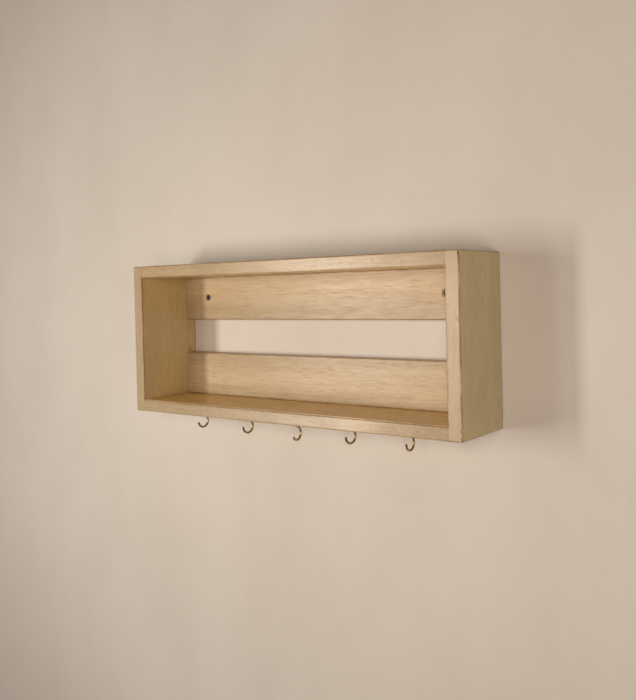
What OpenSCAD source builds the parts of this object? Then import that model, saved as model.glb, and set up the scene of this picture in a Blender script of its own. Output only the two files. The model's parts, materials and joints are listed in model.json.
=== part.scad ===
// Wall key holder: a shallow open box of half-inch boards with two back slats and a row of
// open wire hooks screwed into its underside. Millimetres.
// The origin lies on the wall, midway between the two wall screw holes.
// +X runs to the right, +Y into the wall and +Z up, so the box opens towards -Y.

/* [Box] */
// Outer width, left to right
body_w = 380; // [340:1:460]
// Outer height
body_h = 152; // [146:1:200]
// Depth from the wall to the front edges
body_d = 77; // [66:1:110]
// Thickness of the two side boards
side_t = 12.4; // [10:0.1:16]
// Thickness of the top and bottom boards
shelf_t = 12.4; // [12:0.1:16]
// Radius sanded on the outer edges
edge_r = 1.3; // [0.4:0.1:2.5]
// Radius sanded round the front opening
mouth_r = 0.7; // [0.3:0.1:2.5]
// Larger radius sanded on the top's back edge, next to the wall
back_edge_r = 3; // [0.5:0.1:5]

/* [Back slats] */
// Thickness of both slats
slat_t = 13; // [10:0.1:18]
// Height of the upper slat, which takes the wall screws
upper_slat_h = 46; // [40:1:50]
// Height of the lower slat
lower_slat_h = 45; // [30:1:50]
// Radius sanded on the slat edges along the gap
slat_edge_r = 0.8; // [0.3:0.1:2]

/* [Wall screw holes] */
// Distance between the two holes
screw_pitch = 289; // [240:1:292]
// Height of the holes above the lower edge of the upper slat
screw_rise = 24; // [16:0.5:28]
// Diameter of the through hole
screw_hole_d = 4.5; // [3.5:0.1:5.5]
// Diameter of the countersink at the slat's face
screw_sink_d = 8.4; // [7:0.1:10]
// Full angle of the countersink
screw_sink_deg = 90; // [80:1:110]

/* [Hooks] */
// Distance of the end hooks from the ends of the box
hook_margin = 66; // [50:1:110]
// Distance of the row of hooks behind the front edge
hook_setback = 32; // [22:0.5:40]
// Diameter of the wire
hook_wire_d = 2.0; // [1.6:0.1:2.4]
// Radius of the loop, to the middle of the wire
hook_r = 6.3; // [5.5:0.1:8]
// Radius of the neck's return bend, to the middle of the wire
hook_neck_r = 3; // [2:0.1:4]
// Turn from the top of the loop round the back to the tip, in degrees
hook_sweep = 268; // [240:1:280]
// Length of the chamfer on the tip
hook_tip_l = 0.5; // [0.2:0.1:0.9]
// Length of the straight shank, from the neck to the screw point
hook_shank_l = 11.4; // [10.8:0.1:11.8]
// Length of the shank that is threaded
hook_thread_l = 9.5; // [6:0.5:10]
// Diameter of the threaded wire's core
hook_core_d = 1.5; // [1.2:0.1:1.6]
// Length of the shoulder where the wire thins to that core
hook_shoulder_l = 0.8; // [0.4:0.1:1]
// Length of the pointed end
hook_point_l = 3.5; // [2:0.5:5]
// Length of each hook's shank that shows below the board
hook_stands = [1.8, 2.6, 4.4, 1.9, 2.3]; // [0.5:0.1:5]
// Turn of each hook from facing straight ahead, in degrees
hook_turns = [-5, -8, 3, -9, -1]; // [-180:1:180]
// How far each hook's tip has been bent open, in degrees of its loop
hook_opened = [8, 0, 26, 0, 0]; // [0:1:30]

/* [Nails] */
// Nails through a side board into the end of the top or bottom board
shelf_nails = 3; // [2:1:4]
// Nails through a side board into the end of each slat
slat_nails = 2; // [1:1:3]
// Length of a nail
nail_l = 30; // [24:1:34]
// Diameter of a nail's shank
nail_d = 1.4; // [1:0.1:1.8]
// Diameter of a nail's head
nail_head_d = 2; // [1.9:0.1:2.6]
// Height of a nail's head
nail_head_l = 1.2; // [0.8:0.1:1.6]
// Length of a nail's point
nail_point_l = 2.4; // [1.5:0.1:4]
// How deep each head is sunk below the board's face
nail_set = 1.5; // [1:0.1:3]
// Distance of the outer nails from the edges of the board that they hold
nail_margin = 12; // [8:0.5:14]

/* [Fits] */
// Clearance round a hook's wire in its pilot hole
hook_fit = 0.05; // [0.02:0.01:0.1]
// Extra radius of the wire where a hook's two bends meet
hook_joint = 0.02; // [0.01:0.01:0.05]
// Room left below a hook's point
hook_end_gap = 0.4; // [0.2:0.1:0.6]
// Clearance round a nail
nail_fit = 0.05; // [0.02:0.01:0.1]
// Clearance round the filler over a nail head
filler_fit = 0.02; // [0.01:0.01:0.05]

/* [Hidden] */
$fn = 64;

// The inside of the box
inner_w = body_w - 2 * side_t;
inner_h = body_h - 2 * shelf_t;

// Places in the part's frame
x_left = -body_w / 2;
y_front = -body_d;
slat_gap_top = inner_h - upper_slat_h + shelf_t;
z_bottom = -(slat_gap_top + screw_rise);
z_floor = z_bottom + shelf_t;
z_ceiling = z_floor + inner_h;
y_slat = -slat_t;
y_hooks = y_front + hook_setback;

// Depth of the countersink's cone
screw_sink_l = (screw_sink_d - screw_hole_d) / 2 / tan(screw_sink_deg / 2);

// Hook loop: the neck's return bend touches the loop where their centres' line crosses the wire
hook_count = len(hook_stands);
hook_pitch = (body_w - 2 * hook_margin) / (hook_count - 1);
hook_wire_r = hook_wire_d / 2;
hook_neck_rise = sqrt(pow(hook_r + hook_neck_r, 2) - pow(hook_neck_r, 2));
hook_neck_deg = atan2(hook_neck_r, hook_neck_rise);

// A cutter passes this far beyond the face that it opens
cut = 1;

wood = "burlywood";
wood_shade = "tan";
brass = "goldenrod";
steel = "slategray";
filler = "wheat";

// Rectangle from the origin with quarter-round corners; far_r is the far upper corner's radius
module rounded_rectangle(size, r, far_r) {
    difference() {
        square(size);
        for (x = [0, 1], y = [0, 1])
            translate([x * size.x, y * size.y])
                mirror([x, 0])
                    mirror([0, y])
                        corner_waste(x * y == 1 ? far_r : r);
    }
}

// What sanding takes off a square corner at the origin
module corner_waste(r) {
    difference() {
        translate([-cut, -cut])
            square(r + cut);
        translate([r, r])
            circle(r);
    }
}

// The whole box as a block, with its outer edges eased
module sanded_block() {
    translate([x_left, y_front, z_bottom])
        intersection() {
            linear_extrude(body_h)
                rounded_rectangle([body_w, body_d], edge_r, edge_r);
            translate([0, body_d, 0])
                rotate([90, 0, 0])
                    linear_extrude(body_d)
                        rounded_rectangle([body_w, body_h], edge_r, edge_r);
            rotate([90, 0, 90])
                linear_extrude(body_w)
                    rounded_rectangle([body_d, body_h], edge_r, back_edge_r);
        }
}

// Outline that flares by mouth_r towards the front, for an opening of the given width
module flare(width) {
    difference() {
        translate([-mouth_r, -cut])
            square([width + 2 * mouth_r, mouth_r + cut]);
        for (x = [-mouth_r, width + mouth_r])
            translate([x, mouth_r])
                circle(mouth_r);
    }
}

// Eases the front edge all round the opening, mitred in its corners
module sanded_mouth() {
    translate([x_left + side_t, y_front, z_floor])
        intersection() {
            translate([0, 0, -mouth_r])
                linear_extrude(inner_h + 2 * mouth_r)
                    flare(inner_w);
            translate([-mouth_r, 0, 0])
                rotate([90, 0, 90])
                    linear_extrude(inner_w + 2 * mouth_r)
                        flare(inner_h);
        }
}

// One board of the box, cut from the sanded block
module box_board(low, size) {
    difference() {
        intersection() {
            sanded_block();
            translate(low)
                cube(size);
        }
        sanded_mouth();
    }
}

// Places of count nails spread between two edges
function spread(low, high, count) =
    count == 1
        ? [(low + high) / 2]
        : [for (i = [0 : count - 1])
            low + nail_margin + i * (high - low - 2 * nail_margin) / (count - 1)];

// Where the nails of one side lie, as [y, z]
nail_places = concat(
    [for (y = spread(y_front, 0, shelf_nails), z = [z_floor - shelf_t / 2, z_ceiling + shelf_t / 2])
        [y, z]],
    [for (z = spread(z_floor, z_floor + lower_slat_h, slat_nails))
        [y_slat / 2, z]],
    [for (z = spread(z_ceiling - upper_slat_h, z_ceiling, slat_nails))
        [y_slat / 2, z]]
);

// Places its children at every nail of the left side, with +Z along the nail
module at_left_nails() {
    for (p = nail_places)
        translate([x_left, p.x, p.y])
            rotate([0, 90, 0])
                children();
}

// The same on the right side
module at_right_nails() {
    mirror([1, 0, 0])
        at_left_nails()
            children();
}

// One finish nail, driven along +Z from the board's face at the origin
module nail() {
    translate([0, 0, nail_set])
        rotate_extrude()
            polygon([
                [0, 0],
                [nail_head_d / 2, 0],
                [nail_head_d / 2, nail_head_l],
                [nail_d / 2, nail_head_l],
                [nail_d / 2, nail_l - nail_point_l],
                [0, nail_l]
            ]);
}

// The hole that a driven nail leaves, open at the board's face
module nail_hole() {
    translate([0, 0, -cut])
        cylinder(h = cut + nail_set + nail_head_l + nail_fit, d = nail_head_d + 2 * nail_fit);
    cylinder(h = nail_set + nail_l + nail_fit, d = nail_d + 2 * nail_fit);
}

// Wood filler over one sunk nail head, flush with the board's face
module nail_filler() {
    cylinder(h = nail_set - filler_fit, d = nail_head_d + 2 * (nail_fit - filler_fit));
}

// One hook with the middle of its loop at the origin, its shank up +Z and its back towards +X
module hook_wire(sweep) {
    rotate([90, 0, 0]) {
        // Loop, from the tip under the middle and up the back to the neck
        rotate([0, 0, 90 - sweep]) {
            rotate_extrude(angle = sweep - hook_neck_deg)
                translate([hook_r, 0])
                    circle(hook_wire_r);
            translate([hook_r, 0])
                rotate([90, 0, 0])
                    cylinder(h = hook_tip_l, r1 = hook_wire_r, r2 = hook_wire_r - hook_tip_l);
        }
        // Where the two bends meet, a hair thicker than the wire so that they fuse
        rotate([0, 0, 90 - hook_neck_deg])
            translate([hook_r, 0])
                sphere(hook_wire_r + hook_joint);
        // Neck, which bends the wire back over the middle of the loop
        translate([hook_neck_r, hook_neck_rise])
            rotate([0, 0, 180])
                rotate_extrude(angle = 90 - hook_neck_deg)
                    translate([hook_neck_r, 0])
                        circle(hook_wire_r);
    }
    // Straight shank, its shoulder, the threaded core and the point
    translate([0, 0, hook_neck_rise])
        rotate_extrude()
            polygon([
                [0, 0],
                [hook_wire_r, 0],
                [hook_wire_r, hook_shank_l - hook_thread_l - hook_shoulder_l],
                [hook_core_d / 2, hook_shank_l - hook_thread_l],
                [hook_core_d / 2, hook_shank_l - hook_point_l],
                [0, hook_shank_l]
            ]);
}

// X of hook number i, counted from 0 at the left
function hook_x(i) = x_left + hook_margin + i * hook_pitch;

// One hook where it is screwed in
module hook(i) {
    color(brass)
        translate([hook_x(i), y_hooks, z_bottom - hook_stands[i] - hook_neck_rise])
            rotate([0, 0, 90 + hook_turns[i]])
                hook_wire(hook_sweep - hook_opened[i]);
}

// Pilot hole for one hook, bored up into the bottom board
module hook_pilot(i) {
    translate([hook_x(i), y_hooks, z_bottom - cut])
        cylinder(h = cut + hook_shank_l - hook_stands[i] + hook_end_gap, d = hook_wire_d + 2 * hook_fit);
}

// One of the two countersunk holes through the upper slat, drilled along +Y from its face
module screw_hole() {
    rotate([-90, 0, 0]) {
        translate([0, 0, -cut])
            cylinder(h = slat_t + 2 * cut, d = screw_hole_d);
        cylinder(h = screw_sink_l, d1 = screw_sink_d, d2 = screw_hole_d);
    }
}

// A back slat between the sides, with its edge along the gap eased; the gap is below it
module slat(height) {
    translate([x_left + side_t, y_slat, 0])
        rotate([90, 0, 90])
            linear_extrude(inner_w)
                difference() {
                    square([slat_t, height]);
                    corner_waste(slat_edge_r);
                    translate([slat_t, 0])
                        mirror([1, 0])
                            corner_waste(slat_edge_r);
                }
}

module left_side() {
    color(wood)
        difference() {
            box_board([x_left, y_front, z_bottom], [side_t, body_d, body_h]);
            at_left_nails()
                nail_hole();
        }
}

module right_side() {
    color(wood)
        difference() {
            box_board([-x_left - side_t, y_front, z_bottom], [side_t, body_d, body_h]);
            at_right_nails()
                nail_hole();
        }
}

module top_board() {
    color(wood)
        difference() {
            box_board([x_left + side_t, y_front, z_ceiling], [inner_w, body_d, shelf_t]);
            at_left_nails()
                nail_hole();
            at_right_nails()
                nail_hole();
        }
}

module bottom_board() {
    color(wood)
        difference() {
            box_board([x_left + side_t, y_front, z_bottom], [inner_w, body_d, shelf_t]);
            at_left_nails()
                nail_hole();
            at_right_nails()
                nail_hole();
            for (i = [0 : hook_count - 1])
                hook_pilot(i);
        }
}

module upper_back_slat() {
    color(wood_shade)
        difference() {
            translate([0, 0, z_ceiling - upper_slat_h])
                slat(upper_slat_h);
            at_left_nails()
                nail_hole();
            at_right_nails()
                nail_hole();
            for (side = [-1, 1])
                translate([side * screw_pitch / 2, y_slat, 0])
                    screw_hole();
        }
}

module lower_back_slat() {
    color(wood_shade)
        difference() {
            translate([0, 0, z_floor + lower_slat_h])
                mirror([0, 0, 1])
                    slat(lower_slat_h);
            at_left_nails()
                nail_hole();
            at_right_nails()
                nail_hole();
        }
}

module left_nails() {
    color(steel)
        at_left_nails()
            nail();
}

module right_nails() {
    color(steel)
        at_right_nails()
            nail();
}

module left_fillers() {
    color(filler)
        at_left_nails()
            nail_filler();
}

module right_fillers() {
    color(filler)
        at_right_nails()
            nail_filler();
}

left_side();
right_side();
top_board();
bottom_board();
upper_back_slat();
lower_back_slat();
hook(0);  // hook_1
hook(1);  // hook_2
hook(2);  // hook_3
hook(3);  // hook_4
hook(4);  // hook_5
left_nails();
right_nails();
left_fillers();
right_fillers();
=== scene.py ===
"""Looks of the wall key holder: an open box of pale wood with two back slats and five wire hooks.

Everything is in metres, in the part's frame: +X to the right, +Y into the wall and +Z up. Sizes in
the named values are millimetres, and at() turns places on the box into points of that frame.
"""
import json
import math

import bmesh
import bpy
from mathutils import Euler, Matrix, Vector, noise


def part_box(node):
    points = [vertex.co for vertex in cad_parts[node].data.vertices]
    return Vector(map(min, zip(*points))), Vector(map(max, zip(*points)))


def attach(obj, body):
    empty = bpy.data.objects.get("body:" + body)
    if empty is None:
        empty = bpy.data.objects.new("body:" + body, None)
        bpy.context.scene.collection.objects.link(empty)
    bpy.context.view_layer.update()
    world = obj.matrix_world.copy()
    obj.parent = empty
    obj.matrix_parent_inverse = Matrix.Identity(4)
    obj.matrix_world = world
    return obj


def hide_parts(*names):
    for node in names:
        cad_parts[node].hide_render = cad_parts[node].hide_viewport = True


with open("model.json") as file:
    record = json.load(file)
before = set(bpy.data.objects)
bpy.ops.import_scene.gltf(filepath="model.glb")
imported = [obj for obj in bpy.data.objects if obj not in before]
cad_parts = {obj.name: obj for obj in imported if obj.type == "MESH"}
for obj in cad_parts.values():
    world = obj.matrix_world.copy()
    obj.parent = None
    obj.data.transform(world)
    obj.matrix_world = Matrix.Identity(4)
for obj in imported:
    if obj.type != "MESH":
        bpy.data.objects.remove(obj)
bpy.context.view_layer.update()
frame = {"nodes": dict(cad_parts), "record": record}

MM = 0.001
X_AXIS, Y_AXIS, Z_AXIS = 0, 1, 2
NODES = frame["nodes"]
BOX_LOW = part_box("left_side")[0]
BOX_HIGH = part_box("right_side")[1]


def at(x, y, z):
    """The point x, y, z mm to the right of, behind and above the box's front bottom left corner."""
    return BOX_LOW + MM * Vector((x, y, z))


# Surface work
CELL = 2.5  # about how far apart the cuts lie that let a board's faces be worked
END_CELL = 0.5  # distance of one more cut from each end of a board
HAND_DEPTH = 0.10  # deepest hollow left by planing and sanding
HAND_LENGTH = 45.0  # size of the hollows
RIDGE_DEPTH = 0.03  # deepest furrow between the hard lines of the grain
RIDGE_LENGTH = 70.0  # size of the furrows along the grain
RIDGE_WIDTH = 4.0  # and across it
HOLLOW_STEPS = (7.1, 3.7, 5.3)  # how far the noise moves from one board to the next
NICK_CUTS = (-1, -0.5, 0, 0.5, 1)  # places of the extra cuts across a nick, as shares of its radius
JOINT_EASE = 0.04  # taken off the sharp ends of a board, which leaves a hairline at each joint
WELD = 0.001  # points nearer than this are one point
ON_PLANE = 0.0001  # a point nearer than this to a cut lies on it
ON_END = 0.01  # a point nearer than this to a board's end lies on it
END_ANGLE = 60.0  # degrees between the faces at a sharp end, or more
SHADE_ANGLE = 50.0  # degrees between two faces of a board that are shaded apart, or more


def vector_of(value, axis):
    """A vector with the value along one axis and 0 along the others."""
    v = Vector((0, 0, 0))
    v[axis] = value
    return v


def cut_planes(bm, axis, places):
    """Cuts the whole mesh by planes square to an axis."""
    for place in places:
        bmesh.ops.bisect_plane(
            bm,
            geom=bm.verts[:] + bm.edges[:] + bm.faces[:],
            dist=ON_PLANE * MM,
            plane_co=vector_of(place, axis),
            plane_no=vector_of(1, axis),
        )


def cell_places(low, high, extra):
    """Places of the cuts between low and high: even cells, one near each end and the extra ones."""
    count = max(2, round((high - low) / (CELL * MM)))
    steps = [low + i * (high - low) / count for i in range(1, count)]
    ends = [low + END_CELL * MM, high - END_CELL * MM]
    return sorted(steps + ends + [e for e in extra if low < e < high])


def hollow(point, grain_axis, seed):
    """How far the worked surface lies below the true one at a point, in metres."""
    shift = Vector([seed * step for step in HOLLOW_STEPS])
    hand = noise.noise(point / (HAND_LENGTH * MM) + shift)
    stretched = point / (RIDGE_WIDTH * MM)
    stretched[grain_axis] = point[grain_axis] / (RIDGE_LENGTH * MM)
    ridge = noise.noise(stretched + shift)
    return MM * (HAND_DEPTH * (0.5 + 0.5 * hand) + RIDGE_DEPTH * (0.5 + 0.5 * ridge))


def worked_copy(node, grain_axis, seed, dents=()):
    """A copy of a CAD node with its surface worked by hand, which replaces the node.

    dents holds (place, radius, depth) of each nick, all in metres.
    """
    bm = bmesh.new()
    bm.from_mesh(NODES[node].data)
    bmesh.ops.remove_doubles(bm, verts=bm.verts[:], dist=WELD * MM)
    low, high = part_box(node)
    for axis in range(3):
        extra = []
        if axis == grain_axis:
            extra = [place[axis] + cut * radius for place, radius, _ in dents for cut in NICK_CUTS]
        cut_planes(bm, axis, cell_places(low[axis], high[axis], extra))
    bm.normal_update()
    moves = []
    for v in bm.verts:
        from_end = min(v.co[grain_axis] - low[grain_axis], high[grain_axis] - v.co[grain_axis])
        widest = max((e.calc_face_angle(0) for e in v.link_edges), default=0)
        depth = hollow(v.co, grain_axis, seed)
        if widest > math.radians(END_ANGLE) and from_end < ON_END * MM:
            depth += JOINT_EASE * MM
        for place, radius, deepest in dents:
            near = max(0, 1 - (v.co - place).length_squared / radius ** 2)
            depth += deepest * near * near
        moves.append(v.normal * depth)
    for v, move in zip(bm.verts, moves):
        v.co -= move
    obj = object_from(bm, "worn_" + node)
    obj.data.set_sharp_from_angle(angle=math.radians(SHADE_ANGLE))
    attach(obj, "root")
    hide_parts(node)
    return obj


def object_from(bm, name):
    """A new smooth-shaded object from a finished bmesh."""
    mesh = bpy.data.meshes.new(name)
    bm.to_mesh(mesh)
    bm.free()
    mesh.shade_smooth()
    obj = bpy.data.objects.new(name, mesh)
    bpy.context.scene.collection.objects.link(obj)
    return obj


class Shader:
    """A material's node tree, with a short call for each kind of node."""

    # Places of a Mix node's colour sockets, which share their names with its number sockets
    MIX_FACTOR, MIX_A, MIX_B, MIX_RESULT = 0, 6, 7, 2

    def __init__(self, name):
        self.material = bpy.data.materials.new(name)
        self.material.use_nodes = True
        self.tree = self.material.node_tree
        self.surface = self.tree.nodes["Principled BSDF"]
        self.output = self.tree.nodes["Material Output"]

    def node(self, kind, inputs=(), **settings):
        """A new node with its settings, and its inputs by name or place, as values or sockets."""
        made = self.tree.nodes.new("ShaderNode" + kind)
        for key, value in settings.items():
            setattr(made, key, value)
        for key, value in dict(inputs).items():
            self.put(made.inputs[key], value)
        return made

    def put(self, socket, value):
        """Links or sets one input socket."""
        if isinstance(value, bpy.types.NodeSocket):
            self.tree.links.new(value, socket)
        else:
            socket.default_value = value

    def place(self, scale, offset=(0, 0, 0)):
        """Object coordinates in millimetres, scaled along each axis and moved."""
        coordinates = self.node("TexCoord").outputs["Object"]
        factors = [s / MM for s in scale]
        return self.node(
            "Mapping", {"Vector": coordinates, "Scale": factors, "Location": offset}
        ).outputs[0]

    def noise(self, vector, detail=2.0, roughness=0.5, distortion=0.0):
        """Soft noise of one cell a unit, from about 0 to 1."""
        inputs = {
            "Vector": vector,
            "Scale": 1.0,
            "Detail": detail,
            "Roughness": roughness,
            "Distortion": distortion,
        }
        return self.node("TexNoise", inputs).outputs[0]

    def math(self, operation, a, b=0.0, c=0.0):
        """One arithmetic step."""
        return self.node("Math", {0: a, 1: b, 2: c}, operation=operation).outputs[0]

    def ranged(self, value, low, high, new_low=0.0, new_high=1.0):
        """value stretched from low..high to new_low..new_high, smoothly and clamped."""
        inputs = {
            "Value": value,
            "From Min": low,
            "From Max": high,
            "To Min": new_low,
            "To Max": new_high,
        }
        return self.node("MapRange", inputs, interpolation_type="SMOOTHSTEP").outputs[0]

    def mix(self, factor, a, b, blend="MIX"):
        """Two colours mixed by a factor."""
        inputs = {self.MIX_FACTOR: factor, self.MIX_A: a, self.MIX_B: b}
        made = self.node("Mix", inputs, data_type="RGBA", blend_type=blend)
        return made.outputs[self.MIX_RESULT]

    def bump(self, height, distance, strength):
        """Bends the surface's normal by a height, of which 1 stands for distance mm."""
        inputs = {"Height": height, "Distance": distance * MM, "Strength": strength}
        self.put(self.surface.inputs["Normal"], self.node("Bump", inputs).outputs[0])

    def finish(self, tone, roughness, metallic=0.0):
        """Sets the surface's colour and roughness, and whether it is metal."""
        self.put(self.surface.inputs["Base Color"], tone)
        self.put(self.surface.inputs["Roughness"], roughness)
        self.put(self.surface.inputs["Metallic"], metallic)


def colour(red, green, blue):
    """An opaque colour from linear values."""
    return (red, green, blue, 1.0)


def even(scale):
    """The same scale along each axis, as cells of noise to the millimetre."""
    return (scale, scale, scale)


# Wood colours
WOOD_PALE = colour(0.594, 0.460, 0.253)
WOOD_WARM = colour(0.504, 0.365, 0.178)
WOOD_GREY = colour(0.405, 0.310, 0.169)
WOOD_LINE = colour(0.378, 0.246, 0.107)
WOOD_EDGE = colour(0.265, 0.150, 0.052)
WOOD_KNOT = colour(0.190, 0.115, 0.046)
WOOD_PORE = colour(0.110, 0.071, 0.040)
# Pale worn wood, which also paints a highlight patch on the bottom board's front
WOOD_WORN_AND_HIGHLIGHT = colour(0.570, 0.460, 0.320)
# Painted light and shade: tints that make the broad faces, the front and back edges and the box's other
# outer faces paler or darker for the light each gets, lifting the shaded faces and darkening the lit slats
# and front edges
BROAD_PAINTED_LIGHT_TINTS = {
    "slat": colour(0.815, 0.85, 1.01),
    "top_board": colour(1.60, 1.50, 1.12),
    "bottom_board": colour(1.40, 1.26, 0.88),
    "side": colour(1.05, 1.09, 1.10),
}
EDGE_PAINTED_LIGHT_TINTS = {
    "top_board": colour(0.78, 0.78, 0.89),
    "bottom_board": colour(0.73, 0.735, 0.87),
    "left_side": colour(0.76, 0.77, 0.92),
    "right_side": colour(0.86, 0.93, 1.18),
}
OUTER_PAINTED_LIGHT_TINT = colour(1.22, 1.38, 1.50)
# Depth under the front or back edge's face, and under an outer face, where its painted-light tint starts
# and is full; the first also marks the front for the rubbed edges and pale patches
EDGE_BAND = (1.6, 0.5)
OUTER_BAND = (0.9, 0.3)
# How strongly the fibres show
CONTRASTS = {"slat": 1.8, "board": 1.1, "side": 0.5}
# Painted highlight and shade across a slat, brighter towards the upper slat's top and the lower slat's
# bottom where the lamps' sheen falls: height where it starts and ends, and the share of tone at each
SLAT_PAINTED_SHEEN = {"upper_back_slat": (-20.0, 14.0, 0.92, 1.13), "lower_back_slat": (-60.0, -78.0, 0.92, 1.08)}
# Roughness from the smoothest to the roughest fibres, and how strong the finish shines
GLOSS = {"slat": (0.30, 0.38), "board": (0.26, 0.34), "side": (0.26, 0.34)}
SPECULAR = {"slat": 0.32, "board": 0.46, "side": 0.46}
# Grain and wear, in millimetres
RING_SPACING = 3.8  # between growth lines
RING_WANDER = 26.0  # how far the lines stray along a board
RING_DISTANCE = 120.0  # from a board's middle to the pith
EDGE_WEAR = 0.65  # width of the full brown of a rubbed edge
EDGE_FADE = 1.60  # distance from the edge at which the brown has gone
WEAR_WANDER = 1.0  # how far that distance strays along an edge
# Share of the brown that a board's edges get, where it isn't all of it
RUBBED_LESS = {"bottom_board": 0.35}
# Share of a ring's width where its dark side starts and is full, and where it has ended and is full
RING_DARKENS = (0.15, 0.80)
RING_ENDS = (1.0, 0.82)
# Direction to the pith, in radians: where it starts, and how far it turns from one board to the next
RING_TURN = 0.6
RING_TURN_STEP = 2.4
# Layers of noise: cells to the millimetre along and across the grain, then detail, roughness and,
# for the streaks, distortion
LAYERS = {
    "wander": (0.005, 0.025, 2.0, 0.45),
    "streaks": (0.010, 0.16, 4.0, 0.6, 0.2),
    "clouds": (0.020, 0.045, 3.0, 0.6),
    "fibres": (0.07, 0.95, 3.0, 0.6),
    "threads": (0.12, 4.0, 3.0, 0.6),
    "grit": (0.45, 1.1, 2.0, 0.5),
    "rub": (0.18, 0.42, 4.0, 0.7),
    "flecks": (0.16, 1.9, 1.0, 0.5),
    "patches": (0.03, 0.03, 1.0, 0.5),
    "wear": (0.05, 0.35, 4.0, 0.6),
}
LAYER_STEPS = (13.7, 5.9, 9.1)  # how far the layers move from one board to the next
# Value of a layer where it starts to show and where it is full, and the share of tone at each
STREAK_BAND = (0.25, 0.70)
CLOUD_BAND = (0.42, 0.72, 0.0, 0.30)
DARK_FIBRE_BAND = (0.50, 0.72)
PALE_FIBRE_BAND = (0.48, 0.28)
THREAD_BAND = (0.50, 0.75, 0.0, 0.15)
RUB_BROWN_BAND = (0.54, 0.72, 0.0, 0.25)
RUB_PALE_BAND = (0.47, 0.30, 0.0, 0.38)
FLECK_BAND = (0.68, 0.79)
PATCH_BAND = (0.42, 0.62)
WEAR_BAND = (0.7, 0.35, 0.3, 0.85)
NOISE_BAND = (0.3, 0.7)  # the values that most of any noise lies between
# Shares of tone
LINE_TONE = 0.10
FIBRE_TONE = 0.34  # at a contrast of 1
PORE_TONE = 0.50
# Heights in the wood's bump, beside the grit's of 1
LINE_RISE = 0.12
FIBRE_RISE = 0.5  # at a contrast of 1
PORE_SINK = 0.5
# Distances at which a spot is full and has gone, as shares of its radius, and its noise's cells to the mm
SPOT_FULL = 0.6
SPOT_GONE = 1.5
SPOT_NOISE = 0.5


def along(grain_axis, lengthways, across):
    """A scale that is lengthways along the grain and across on the other two axes."""
    return tuple(lengthways if axis == grain_axis else across for axis in range(3))


def ring_centre(grain_axis, seed):
    """The pith's place for one board, in mm, across its grain."""
    angle = RING_TURN_STEP * seed + RING_TURN
    ring = [RING_DISTANCE * math.cos(angle), RING_DISTANCE * math.sin(angle)]
    ring.insert(grain_axis, 0.0)
    return ring


def layer(s, name, grain_axis, offset):
    """One of the wood's layers of noise, drawn out along the grain."""
    lengthways, across, *settings = LAYERS[name]
    return s.noise(s.place(along(grain_axis, lengthways, across), offset), *settings)


def growth_lines(s, grain_axis, seed, offset):
    """Lines of late wood, 1 at their dark side, as shells about a far pith."""
    wander = layer(s, "wander", grain_axis, offset)
    across = s.place(along(grain_axis, 0.0, 1.0))
    reach = s.node("VectorMath", {0: across, 1: ring_centre(grain_axis, seed)}, operation="DISTANCE")
    rings = s.math("MULTIPLY_ADD", wander, RING_WANDER, reach.outputs["Value"])
    wave = s.math("FRACT", s.math("DIVIDE", rings, RING_SPACING))
    return s.math("MULTIPLY", s.ranged(wave, *RING_DARKENS), s.ranged(wave, *RING_ENDS))


def for_node(table, node):
    """The entry of a table whose key is part of a node's name."""
    return next(value for key, value in table.items() if key in node)


def face_distances(s, node):
    """How far a point lies inside the board's box along each axis, in mm.

    A side board's inner face counts as far away beside its joints, because it has no edge there.
    """
    low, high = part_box(node)
    parts = s.node("SeparateXYZ", {0: s.place(even(1))}).outputs
    distances = []
    for axis in range(3):
        below = s.math("SUBTRACT", parts[axis], low[axis] / MM)
        above = s.math("SUBTRACT", high[axis] / MM, parts[axis])
        if axis == X_AXIS and "side" in node:
            over = s.math("SUBTRACT", parts[Z_AXIS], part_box("top_board")[0].z / MM)
            under = s.math("SUBTRACT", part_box("bottom_board")[1].z / MM, parts[Z_AXIS])
            beyond = s.math("MAXIMUM", over, under)
            if node == "left_side":
                above = s.math("MAXIMUM", above, beyond)
            else:
                below = s.math("MAXIMUM", below, beyond)
        distances.append(s.math("MINIMUM", below, above))
    return distances


def edge_distance(s, distances, grain_axis):
    """How far a point of a board's surface lies from its nearest open edge, in mm.

    The ends of upright boards are open, and the others end at the side boards.
    """
    ends = distances[grain_axis]
    sides = [d for axis, d in enumerate(distances) if axis != grain_axis]
    larger = s.math("MAXIMUM", *sides)
    if grain_axis != Z_AXIS:
        return larger
    return s.math("MAXIMUM", s.math("MINIMUM", *sides), s.math("MINIMUM", larger, ends))


def spot(s, place, radius):
    """A factor that is high at a place and fades out at about the radius, unevenly."""
    here = s.node("TexCoord").outputs["Object"]
    far = s.node("VectorMath", {0: here, 1: place}, operation="DISTANCE").outputs["Value"]
    uneven = s.math("MULTIPLY_ADD", s.noise(s.place(even(SPOT_NOISE))), radius, far)
    return s.ranged(uneven, SPOT_GONE * radius, SPOT_FULL * radius)


def painted_light_tint(s, node, distances):
    """Painted light and shade as a board's tint: on its broad, narrow and outer faces, and across a slat's
    height.
    """
    broad = for_node(BROAD_PAINTED_LIGHT_TINTS, node)
    x, y, z = s.node("SeparateXYZ", {0: s.place(even(1))}).outputs
    # A slat's tint is painted highlight and shade across its height, without edge or outer tints
    if node in SLAT_PAINTED_SHEEN:
        return s.mix(1.0, s.ranged(z, *SLAT_PAINTED_SHEEN[node]), broad, "MULTIPLY")
    tint = s.mix(s.ranged(distances[Y_AXIS], *EDGE_BAND), broad, for_node(EDGE_PAINTED_LIGHT_TINTS, node))
    beside = s.math("SUBTRACT", BOX_HIGH.x / MM, s.math("ABSOLUTE", x))
    under = s.math("SUBTRACT", BOX_HIGH.z / MM, z)
    over = s.math("SUBTRACT", z, BOX_LOW.z / MM)
    inside = s.math("MINIMUM", beside, s.math("MINIMUM", under, over))
    return s.mix(s.ranged(inside, *OUTER_BAND), tint, OUTER_PAINTED_LIGHT_TINT)


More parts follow.
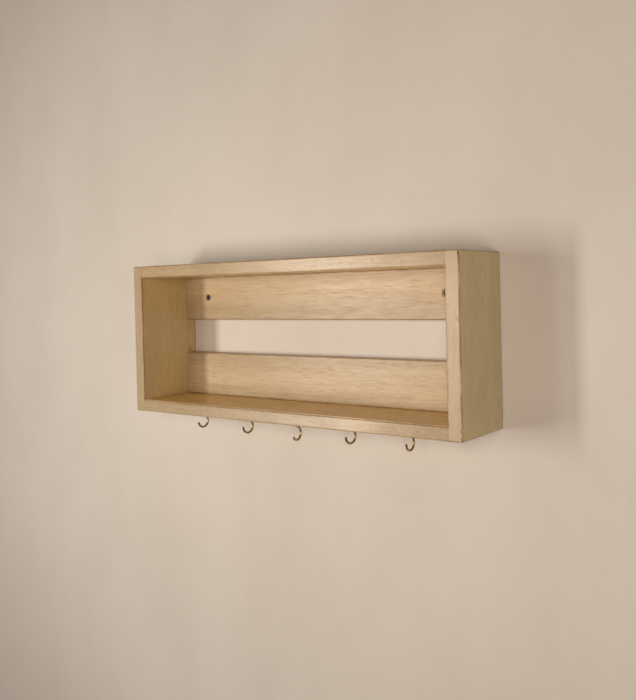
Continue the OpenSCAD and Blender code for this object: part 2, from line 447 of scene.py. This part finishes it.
def grain_tone(s, contrast, grain_axis, offset, lines, fibres):
    """Bare wood: warm and pale streaks, grey clouds, growth lines, fibres and fine threads."""
    spread = 0.5 * min(contrast, 1.0)
    streaks = s.ranged(layer(s, "streaks", grain_axis, offset), *STREAK_BAND, 0.5 - spread, 0.5 + spread)
    clouds = s.ranged(layer(s, "clouds", grain_axis, offset), *CLOUD_BAND)
    threads = s.ranged(layer(s, "threads", grain_axis, offset), *THREAD_BAND)
    tone = s.mix(streaks, WOOD_WARM, WOOD_PALE)
    tone = s.mix(clouds, tone, WOOD_GREY)
    tone = s.mix(s.math("MULTIPLY", lines, LINE_TONE), tone, WOOD_LINE)
    tone = s.mix(s.ranged(fibres, *DARK_FIBRE_BAND, 0.0, FIBRE_TONE * contrast), tone, WOOD_LINE)
    tone = s.mix(s.ranged(fibres, *PALE_FIBRE_BAND, 0.0, FIBRE_TONE * contrast), tone, WOOD_PALE)
    return s.mix(threads, tone, WOOD_GREY)


def rubbed(s, tone, grain_axis, front, offset):
    """The front edges' finish, rubbed to brown and to pale wood in small patches."""
    rub = layer(s, "rub", grain_axis, offset)
    brown = s.math("MULTIPLY", front, s.ranged(rub, *RUB_BROWN_BAND))
    tone = s.mix(brown, tone, WOOD_EDGE)
    pale = s.math("MULTIPLY", front, s.ranged(rub, *RUB_PALE_BAND))
    return s.mix(pale, tone, WOOD_WORN_AND_HIGHLIGHT)


def pore_marks(s, grain_axis, offset):
    """Short dark pores, in patches."""
    flecks = layer(s, "flecks", grain_axis, offset)
    patches = layer(s, "patches", grain_axis, offset)
    return s.math("MULTIPLY", s.ranged(flecks, *FLECK_BAND), s.ranged(patches, *PATCH_BAND))


def worn_edges(s, tone, node, grain_axis, distances, offset):
    """The finish rubbed brown along a board's edges."""
    edge = edge_distance(s, distances, grain_axis)
    wear = layer(s, "wear", grain_axis, offset)
    reach = s.math("MULTIPLY_ADD", wear, WEAR_WANDER, s.math("SUBTRACT", edge, WEAR_WANDER / 2))
    brown = s.math("MULTIPLY", s.ranged(reach, EDGE_FADE, EDGE_WEAR), s.ranged(wear, *WEAR_BAND))
    brown = s.math("MULTIPLY", brown, RUBBED_LESS.get(node, 1.0))
    return s.mix(brown, tone, WOOD_EDGE)


def wood(node, grain_axis, seed, spots=(), wear_and_highlights=()):
    """Pale sanded softwood with a thin satin finish, its grain along one axis.

    spots holds (place, radius, depth of tone) of each knot or dark mark, in the part's frame,
    and the pale patches the same: real wear, and on the bottom board's front a painted highlight.
    """
    s = Shader("wood_" + node)
    offset = tuple(seed * step for step in LAYER_STEPS)
    contrast = for_node(CONTRASTS, node)
    distances = face_distances(s, node)
    front = s.ranged(distances[Y_AXIS], *EDGE_BAND)
    lines = growth_lines(s, grain_axis, seed, offset)
    fibres = layer(s, "fibres", grain_axis, offset)
    pores = pore_marks(s, grain_axis, offset)
    tone = grain_tone(s, contrast, grain_axis, offset, lines, fibres)
    # Painted light and shade: each face tinted paler or darker for how lit it looks
    tone = s.mix(1.0, tone, painted_light_tint(s, node, distances), "MULTIPLY")
    if node not in SLAT_PAINTED_SHEEN:
        tone = rubbed(s, tone, grain_axis, front, offset)
    # Pale patches on the front: wear, and on the bottom board a painted highlight where the lamps' sheen
    # falls
    for place, radius, depth in wear_and_highlights:
        patch = s.math("MULTIPLY", front, spot(s, place, radius))
        tone = s.mix(s.math("MULTIPLY", patch, depth), tone, WOOD_WORN_AND_HIGHLIGHT)
    tone = s.mix(s.math("MULTIPLY", pores, PORE_TONE), tone, WOOD_PORE)
    for place, radius, depth in spots:
        tone = s.mix(s.math("MULTIPLY", spot(s, place, radius), depth), tone, WOOD_KNOT)
    tone = worn_edges(s, tone, node, grain_axis, distances, offset)
    s.finish(tone, s.ranged(fibres, *NOISE_BAND, *for_node(GLOSS, node)))
    s.put(s.surface.inputs["Specular IOR Level"], for_node(SPECULAR, node))
    height = s.math("MULTIPLY_ADD", lines, LINE_RISE, layer(s, "grit", grain_axis, offset))
    height = s.math("SUBTRACT", height, s.math("MULTIPLY", pores, PORE_SINK))
    height = s.math("MULTIPLY_ADD", fibres, FIBRE_RISE * contrast, height)
    s.bump(height, distance=0.10, strength=0.8)
    return s.material


# Metal colours, and the finishes' roughness from their smoothest to their roughest places
BRASS_BRIGHT = colour(0.51, 0.375, 0.175)
BRASS_DULL = colour(0.23, 0.15, 0.068)
BRASS_GLOSS = (0.24, 0.42)
NAIL_BRIGHT = colour(0.45, 0.45, 0.46)
NAIL_DARK = colour(0.28, 0.28, 0.29)
NAIL_GLOSS = (0.30, 0.48)
# The screws' colours are darker than bare steel: partly their own dark finish, partly painted shade for
# heads sunk in their holes
SCREW_BRIGHT = colour(0.085, 0.078, 0.066)
SCREW_DARK = colour(0.035, 0.031, 0.026)
SCREW_GLOSS = (0.52, 0.68)
FILLER_GLOSS = (0.5, 0.62)
METAL_BAND = (0.35, 0.7)  # the noise's values where a metal's second colour starts and is full


def filler():
    """Wood filler, finer and flatter than the wood round it."""
    s = Shader("nail_filler")
    grain = s.noise(s.place(even(2.2)), detail=3.0, roughness=0.6)
    tone = s.mix(s.ranged(grain, *NOISE_BAND), WOOD_PALE, WOOD_WARM)
    # The filler takes the outer faces' painted-light tint, to match the wood round it
    s.finish(s.mix(1.0, tone, OUTER_PAINTED_LIGHT_TINT, "MULTIPLY"), s.ranged(grain, *NOISE_BAND, *FILLER_GLOSS))
    s.bump(grain, distance=0.04, strength=0.4)
    return s.material


def brass():
    """Golden brass plate on wire, dulled by handling."""
    s = Shader("hook_brass")
    tarnish = s.noise(s.place(even(0.35)), detail=4.0, roughness=0.6)
    scratches = s.noise(s.place(along(Z_AXIS, 6.0, 1.5)), detail=3.0, roughness=0.6)
    tone = s.mix(s.ranged(tarnish, *METAL_BAND), BRASS_BRIGHT, BRASS_DULL)
    s.finish(tone, s.ranged(scratches, *NOISE_BAND, *BRASS_GLOSS), metallic=1.0)
    s.bump(scratches, distance=0.02, strength=0.35)
    return s.material


def steel(name, bright, dark, gloss):
    """Plated steel with fine turning marks."""
    s = Shader(name)
    marks = s.noise(s.place(even(3.0)), detail=3.0, roughness=0.6)
    tone = s.mix(s.ranged(marks, *METAL_BAND), bright, dark)
    s.finish(tone, s.ranged(marks, *NOISE_BAND, *gloss), metallic=1.0)
    s.bump(marks, distance=0.02, strength=0.3)
    return s.material


# Marks seen on the boards: each one's place in the box's millimetres, its radius, and a nick's depth
# or a spot's or pale patch's share of tone
SIDE = (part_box("left_side")[1].x - BOX_LOW.x) / MM
TOP_NICKS = [((124, 0.4, 151.6), 1.6, 0.55), ((162.6, 0.4, 151.6), 1.8, 0.35)]
CORNER_NICKS = [((379.6, 0.4, 97.7), 2.2, 0.50), ((379.6, 0.4, 9.3), 1.6, 0.35)]
TOP_SPOTS = [((299.5, 0, 147.9), 1.3, 0.6), ((124, 0.5, 151.5), 1.2, 0.6), ((162.6, 0.5, 151.5), 0.9, 0.5)]
SLAT_SPOTS = [((320.2, 64, 123.4), 1.0, 0.5)]
RIGHT_SPOTS = [((379.8, 0.3, 97.7), 1.4, 0.5), ((379.8, 0.3, 9.3), 1.0, 0.5), ((380, 41, 112), 3.5, 0.25)]
CORNER_SPECKS = [(376.2, 18.5), (373.6, 15.2), (378.8, 15.8), (370.1, 21.0), (372.4, 11.6), (377.6, 27.3)]
SPECK_RADIUS = 0.7
SPECK_TONE = 0.35
RIGHT_SPOTS += [((x, 0, z), SPECK_RADIUS, SPECK_TONE) for x, z in CORNER_SPECKS]
LEFT_SPOTS = [((SIDE, 68.5, 86), 5.5, 0.28), ((SIDE, 68.0, 61.0), 5.0, 0.28)]
# Pale patches: wear on the right side's front, and a painted highlight on the bottom board's front
WEAR_AND_HIGHLIGHT_PATCHES = {"bottom_board": [((278, 0, 7), 38, 0.65)], "right_side": [((374, 0, 118), 34, 0.3)]}


def dents_of(marks):
    """Nicks with their places in the part's frame and their sizes in metres."""
    return [(at(*place), MM * radius, MM * depth) for place, radius, depth in marks]


def spots_of(marks):
    """Spots with their places in the part's frame, their radii in metres and their tone."""
    return [(at(*place), MM * radius, tone) for place, radius, tone in marks]


def dress_boards():
    """Replaces each board, slat and filler with a worked copy in its own wood."""
    boards = [
        ("left_side", Z_AXIS, 1, (), LEFT_SPOTS),
        ("right_side", Z_AXIS, 2, CORNER_NICKS, RIGHT_SPOTS),
        ("top_board", X_AXIS, 3, TOP_NICKS, TOP_SPOTS),
        ("bottom_board", X_AXIS, 4, (), ()),
        ("upper_back_slat", X_AXIS, 5, (), SLAT_SPOTS),
        ("lower_back_slat", X_AXIS, 6, (), ()),
    ]
    for node, grain_axis, seed, dents, spots in boards:
        board = worked_copy(node, grain_axis, seed, dents_of(dents))
        wear_and_highlights = spots_of(WEAR_AND_HIGHLIGHT_PATCHES.get(node, ()))
        board.data.materials.append(wood(node, grain_axis, seed, spots_of(spots), wear_and_highlights))
    filler_look = filler()
    for node, seed in (("left_fillers", 1), ("right_fillers", 2)):
        plugs = worked_copy(node, Z_AXIS, seed)
        plugs.data.materials.append(filler_look)


# Hooks and their threads
HOOKS = sorted(name for name in NODES if name.startswith("hook_"))
WIRE_RADIUS = 1.0
CORE_RADIUS = 0.75
THREAD_PITCH = 1.1
THREAD_LENGTH = 9.5
POINT_LENGTH = 3.5
BARE_POINT = 0.4  # length of the tip without a ridge
ROOT_HALF = 0.24  # half the ridge's width at its root
ROOT_SINK = 0.08  # how far its root reaches into the core
FINEST = 0.02  # smallest radius, at the point
TURN_STEPS = 24
THREAD_SHADE_ANGLE = 40.0  # degrees between two faces of the ridge that are shaded apart, or more


def thread_ridge(name, tip):
    """The helical ridge of one hook's wood thread, from its shoulder to just short of its tip."""
    bm = bmesh.new()
    rows = []
    turns = (THREAD_LENGTH - BARE_POINT) / THREAD_PITCH
    count = int(turns * TURN_STEPS)
    for i in range(count + 1):
        angle = 2 * math.pi * i / TURN_STEPS
        below = THREAD_LENGTH - i * THREAD_PITCH / TURN_STEPS
        core = CORE_RADIUS * min(1, below / POINT_LENGTH)
        fade = min(1, i / TURN_STEPS, (count - i) / TURN_STEPS)
        crest = core + fade * (WIRE_RADIUS - CORE_RADIUS)
        root = core - ROOT_SINK
        row = []
        for radius, rise in ((root, -ROOT_HALF), (crest, 0.0), (root, ROOT_HALF)):
            radius = max(radius, FINEST)
            offset = (radius * math.cos(angle), radius * math.sin(angle), rise - below)
            row.append(bm.verts.new(tip + MM * Vector(offset)))
        rows.append(row)
    for a, b in zip(rows, rows[1:]):
        for j in range(3):
            bm.faces.new((a[j], a[(j + 1) % 3], b[(j + 1) % 3], b[j]))
    bm.faces.new(rows[0][::-1])
    bm.faces.new(rows[-1])
    bmesh.ops.recalc_face_normals(bm, faces=bm.faces[:])
    ridge = object_from(bm, name)
    ridge.data.set_sharp_from_angle(angle=math.radians(THREAD_SHADE_ANGLE))
    return ridge


def give(node, look):
    """Gives a CAD node its material."""
    NODES[node].data.materials.clear()
    NODES[node].data.materials.append(look)


def dress_hooks():
    """Gives the hooks their brass and each one its thread."""
    look = brass()
    for node in HOOKS:
        give(node, look)
        highest = max(NODES[node].data.vertices, key=lambda v: v.co.z).co.copy()
        ridge = thread_ridge(f"{node}_thread", highest)
        ridge.data.materials.append(look)
        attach(ridge, "root")


def dress_nails():
    """Gives the hidden nails their steel."""
    look = steel("nail_steel", NAIL_BRIGHT, NAIL_DARK, NAIL_GLOSS)
    for node in ("left_nails", "right_nails"):
        give(node, look)


# Wall screws
HEAD_RADIUS = 3.0
HEAD_RECESS = 1.0  # depth of the head's face below the slat's
HEAD_RIM = 0.2  # depth of the sloped rim round the head's face
HEAD_EASE = 0.3  # and its width
SHANK_RADIUS = 2.0
SCREW_STEPS = 48
SCREW_SHADE_ANGLE = 30.0  # degrees between two faces that are shaded apart, or more
WALL_CLEARANCE = 0.2  # between the shank's end and the wall
RECESS_REACH = 1.9  # from the middle to the end of a cross arm
RECESS_WIDTH = 1.1
RECESS_DEPTH = 1.9
REACH_TAPER = 0.35  # share of the reach, and of the width, that is left at the recess's bottom
WIDTH_TAPER = 0.6
CUTTER_PROUD = 0.5  # how far the cutter stands out of the head
# Each screw's name, its side of the middle and the turn of its cross in degrees
SCREWS = (("wall_screw_left", -1, 20), ("wall_screw_right", 1, 55))


def revolve(name, profile, steps):
    """A closed solid from (radius, depth) points, turned about +Y."""
    bm = bmesh.new()
    rings = []
    for radius, depth in profile:
        if radius == 0:
            rings.append([bm.verts.new((0, MM * depth, 0))])
            continue
        turn = [2 * math.pi * i / steps for i in range(steps)]
        ring = [(MM * radius * math.cos(t), MM * depth, MM * radius * math.sin(t)) for t in turn]
        rings.append([bm.verts.new(p) for p in ring])
    for a, b in zip(rings, rings[1:]):
        for i in range(steps):
            j = (i + 1) % steps
            corners = [a[i % len(a)], a[j % len(a)], b[j % len(b)], b[i % len(b)]]
            bm.faces.new(sorted(set(corners), key=corners.index))
    bmesh.ops.recalc_face_normals(bm, faces=bm.faces[:])
    return object_from(bm, name)


def cross_cutter(turn):
    """The tapered cross that a driver's recess leaves, opening towards -Y."""
    bm = bmesh.new()
    for arm in (0, 90):
        made = bmesh.ops.create_cube(bm, size=1)["verts"]
        for v in made:
            deep = v.co.y > 0
            v.co.x *= 2 * RECESS_REACH * (REACH_TAPER if deep else 1) * MM
            v.co.z *= RECESS_WIDTH * (WIDTH_TAPER if deep else 1) * MM
            v.co.y = MM * (RECESS_DEPTH if deep else -CUTTER_PROUD)
        rotation = Matrix.Rotation(math.radians(arm + turn), 3, "Y")
        bmesh.ops.rotate(bm, verts=made, cent=(0, 0, 0), matrix=rotation)
    return object_from(bm, "cross_cutter")


def wall_screw(name, place, turn, look):
    """One countersunk wood screw, from its head down to the wall."""
    sink = HEAD_RADIUS - SHANK_RADIUS
    to_wall = -place.y / MM - HEAD_RECESS - WALL_CLEARANCE
    profile = [
        (0, 0),
        (HEAD_RADIUS - HEAD_EASE, 0),
        (HEAD_RADIUS, HEAD_RIM),
        (SHANK_RADIUS, HEAD_RIM + sink),
        (SHANK_RADIUS, to_wall),
        (0, to_wall),
    ]
    screw = revolve(name, profile, SCREW_STEPS)
    cutter = cross_cutter(turn)
    cut = screw.modifiers.new("recess", "BOOLEAN")
    cut.operation = "DIFFERENCE"
    cut.solver = "EXACT"
    cut.use_self = True
    cut.object = cutter
    depsgraph = bpy.context.evaluated_depsgraph_get()
    mesh = bpy.data.meshes.new_from_object(screw.evaluated_get(depsgraph))
    screw.modifiers.clear()
    screw.data = mesh
    bpy.data.objects.remove(cutter)
    mesh.shade_smooth()
    mesh.set_sharp_from_angle(angle=math.radians(SCREW_SHADE_ANGLE))
    mesh.transform(Matrix.Translation(place + vector_of(HEAD_RECESS * MM, Y_AXIS)))
    mesh.materials.clear()
    mesh.materials.append(look)
    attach(screw, "root")


def add_wall_screws():
    """Puts a screw in each of the slat's two holes."""
    mount = next(m for m in frame["record"]["mounts"] if m["name"] == "wall_screw_holes")
    middle = Vector(mount["pos_m"])
    slat_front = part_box("upper_back_slat")[0].y
    look = steel("screw_steel", SCREW_BRIGHT, SCREW_DARK, SCREW_GLOSS)
    for name, side, turn in SCREWS:
        x = middle.x + side * MM * mount["dims"]["spacing_x_mm"] / 2
        wall_screw(name, Vector((x, slat_front, middle.z)), turn, look)


# Room
WALL_GAP = 0.05  # between the box's back and the wall's surface
WALL_INSET = 1.0  # how far the wall reaches in behind the boards
WALL_REACH = 2000.0  # to each side of the frame's origin
WALL_HEIGHT = 1600.0  # above it
FLOOR_DROP = 1200.0  # below it
WALL_PALE = colour(0.655, 0.628, 0.592)
WALL_DULL = colour(0.614, 0.582, 0.542)
FLOOR_PALE = colour(0.620, 0.615, 0.600)
PLASTER_BAND = (0.3, 0.75)  # the clouds' values where the duller colour starts and is full
PLASTER_ROUGHNESS = 0.85
GAP_CELL = (2, 2)  # the wall's cell in the gap between the slats, from the left and from below


def plaster(name, pale, dull):
    """Painted plaster: nearly even, with faint clouds and a fine tooth."""
    s = Shader(name)
    clouds = s.noise(s.place(along(Z_AXIS, 0.005, 0.008)), detail=4.0, roughness=0.6)
    tooth = s.noise(s.place(even(0.5)), detail=3.0, roughness=0.6)
    s.finish(s.mix(s.ranged(clouds, *PLASTER_BAND), pale, dull), PLASTER_ROUGHNESS)
    s.bump(tooth, distance=0.1, strength=0.25)
    return s


def add_wall():
    """A wall that is see-through from behind, and open behind the boards so that light gets there."""
    inset = WALL_INSET * MM
    inner = (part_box("lower_back_slat")[0].x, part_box("lower_back_slat")[1].x)
    gap = (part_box("lower_back_slat")[1].z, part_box("upper_back_slat")[0].z)
    reach = WALL_REACH * MM
    xs = [-reach, BOX_LOW.x + inset, inner[0] - inset, inner[1] + inset, BOX_HIGH.x - inset, reach]
    zs = [
        -FLOOR_DROP * MM,
        BOX_LOW.z + inset,
        gap[0] - inset,
        gap[1] + inset,
        BOX_HIGH.z - inset,
        WALL_HEIGHT * MM,
    ]
    bm = bmesh.new()
    grid = [[bm.verts.new((x, WALL_GAP * MM, z)) for z in zs] for x in xs]
    last = len(xs) - 2
    for i in range(last + 1):
        for j in range(last + 1):
            if (i, j) == GAP_CELL or i in (0, last) or j in (0, last):
                bm.faces.new((grid[i][j], grid[i + 1][j], grid[i + 1][j + 1], grid[i][j + 1]))
    wall = object_from(bm, "wall")
    s = plaster("wall_plaster", WALL_PALE, WALL_DULL)
    back = s.node("NewGeometry").outputs["Backfacing"]
    seen = s.node("LightPath").outputs["Is Camera Ray"]
    clear = s.node("BsdfTransparent").outputs[0]
    through = s.math("MULTIPLY", back, seen)
    mixed = s.node("MixShader", {0: through, 1: s.surface.outputs[0], 2: clear}).outputs[0]
    s.put(s.output.inputs["Surface"], mixed)
    wall.data.materials.append(s.material)


def add_floor():
    """A plain pale floor, far below the box."""
    bm = bmesh.new()
    reach = WALL_REACH * MM
    corners = [(-reach, -2 * reach), (reach, -2 * reach), (reach, reach), (-reach, reach)]
    bm.faces.new([bm.verts.new((x, y, -FLOOR_DROP * MM)) for x, y in corners])
    floor = object_from(bm, "floor")
    s = plaster("floor_plaster", FLOOR_PALE, FLOOR_PALE)
    seen = s.node("LightPath").outputs["Is Camera Ray"]
    s.put(s.surface.inputs["Emission Color"], ROOM_TINT)
    s.put(s.surface.inputs["Emission Strength"], s.math("MULTIPLY", seen, FLOOR_SEEN))
    floor.data.materials.append(s.material)


# Lamps: place and size in millimetres in the part's frame, power in watts, and tint
LAMPS = {
    "key": ((-524, -869, -73), (98, 451), 5.0, (1.0, 0.91, 0.80)),
    "second": ((-318, -869, -66), (120, 231), 1.0, (1.0, 0.91, 0.80)),
    "fill": ((464, -933, -31), (445, 459), 5.6, (1.0, 0.81, 0.66)),
    "behind": ((500, 1800, 500), (1200, 1200), 34.0, (1.0, 0.94, 0.86)),
}
LIGHT_AIM = (0, -40, -42)
ROOM_TINT = colour(1.0, 0.80, 0.66)
ROOM_STRENGTH = 0.06  # how much light the room gives
ROOM_SEEN = 0.55  # how bright the room looks itself
FLOOR_SEEN = 0.42  # and how bright the floor does, beyond the light it gets


def area_light(name, place, size, power, tint):
    """A rectangular lamp that faces the box."""
    lamp = bpy.data.lights.new(name, "AREA")
    lamp.shape = "RECTANGLE"
    lamp.size = size[0] * MM
    lamp.size_y = size[1] * MM
    lamp.energy = power
    lamp.color = tint
    obj = bpy.data.objects.new(name, lamp)
    obj.location = MM * Vector(place)
    aim = MM * Vector(LIGHT_AIM) - obj.location
    obj.rotation_euler = aim.to_track_quat("-Z", "Y").to_euler()
    bpy.context.scene.collection.objects.link(obj)


def add_lights():
    """Two tall lamps from the left, a broad one from the right, one behind the wall, and the room."""
    for name, lamp in LAMPS.items():
        area_light(name, *lamp)
    world = bpy.data.worlds.new("room")
    world.use_nodes = True
    nodes, links = world.node_tree.nodes, world.node_tree.links
    background = nodes["Background"]
    background.inputs["Color"].default_value = ROOM_TINT
    strength = nodes.new("ShaderNodeMapRange")
    strength.inputs["To Min"].default_value = ROOM_STRENGTH
    strength.inputs["To Max"].default_value = ROOM_SEEN
    links.new(nodes.new("ShaderNodeLightPath").outputs["Is Camera Ray"], strength.inputs["Value"])
    links.new(strength.outputs[0], background.inputs["Strength"])
    bpy.context.scene.world = world


# Camera
CAMERA_PLACE = (479.3, -650.6, 4.3)
CAMERA_HEADING = 36.65  # degrees from facing the wall, turned to the left
CAMERA_PITCH = -0.73  # degrees, up being positive
CAMERA_ROLL = -1.38  # degrees, counter-clockwise seen from behind the camera being positive
CLIP_START = 10.0
FOCAL_LENGTH = 41.77
SENSOR_WIDTH = 36.0  # spans the picture's height, its longer side
SHIFT_DOWN = 0.0696  # share of the picture's height by which the view lies below the lens axis


def add_camera():
    """The camera at the photograph's place and angle."""
    data = bpy.data.cameras.new("camera")
    data.lens = FOCAL_LENGTH
    data.sensor_width = SENSOR_WIDTH
    data.shift_y = -SHIFT_DOWN
    data.clip_start = CLIP_START * MM
    camera = bpy.data.objects.new("camera", data)
    camera.location = MM * Vector(CAMERA_PLACE)
    turn = Euler((math.radians(90 + CAMERA_PITCH), 0, math.radians(CAMERA_HEADING))).to_matrix()
    roll = Matrix.Rotation(math.radians(CAMERA_ROLL), 3, "Z")
    camera.rotation_euler = (turn @ roll).to_euler()
    bpy.context.scene.collection.objects.link(camera)
    bpy.context.scene.camera = camera
    bpy.context.scene.view_settings.view_transform = "Standard"


add_camera()
add_lights()
add_wall()
add_floor()
dress_boards()
dress_hooks()
dress_nails()
add_wall_screws()
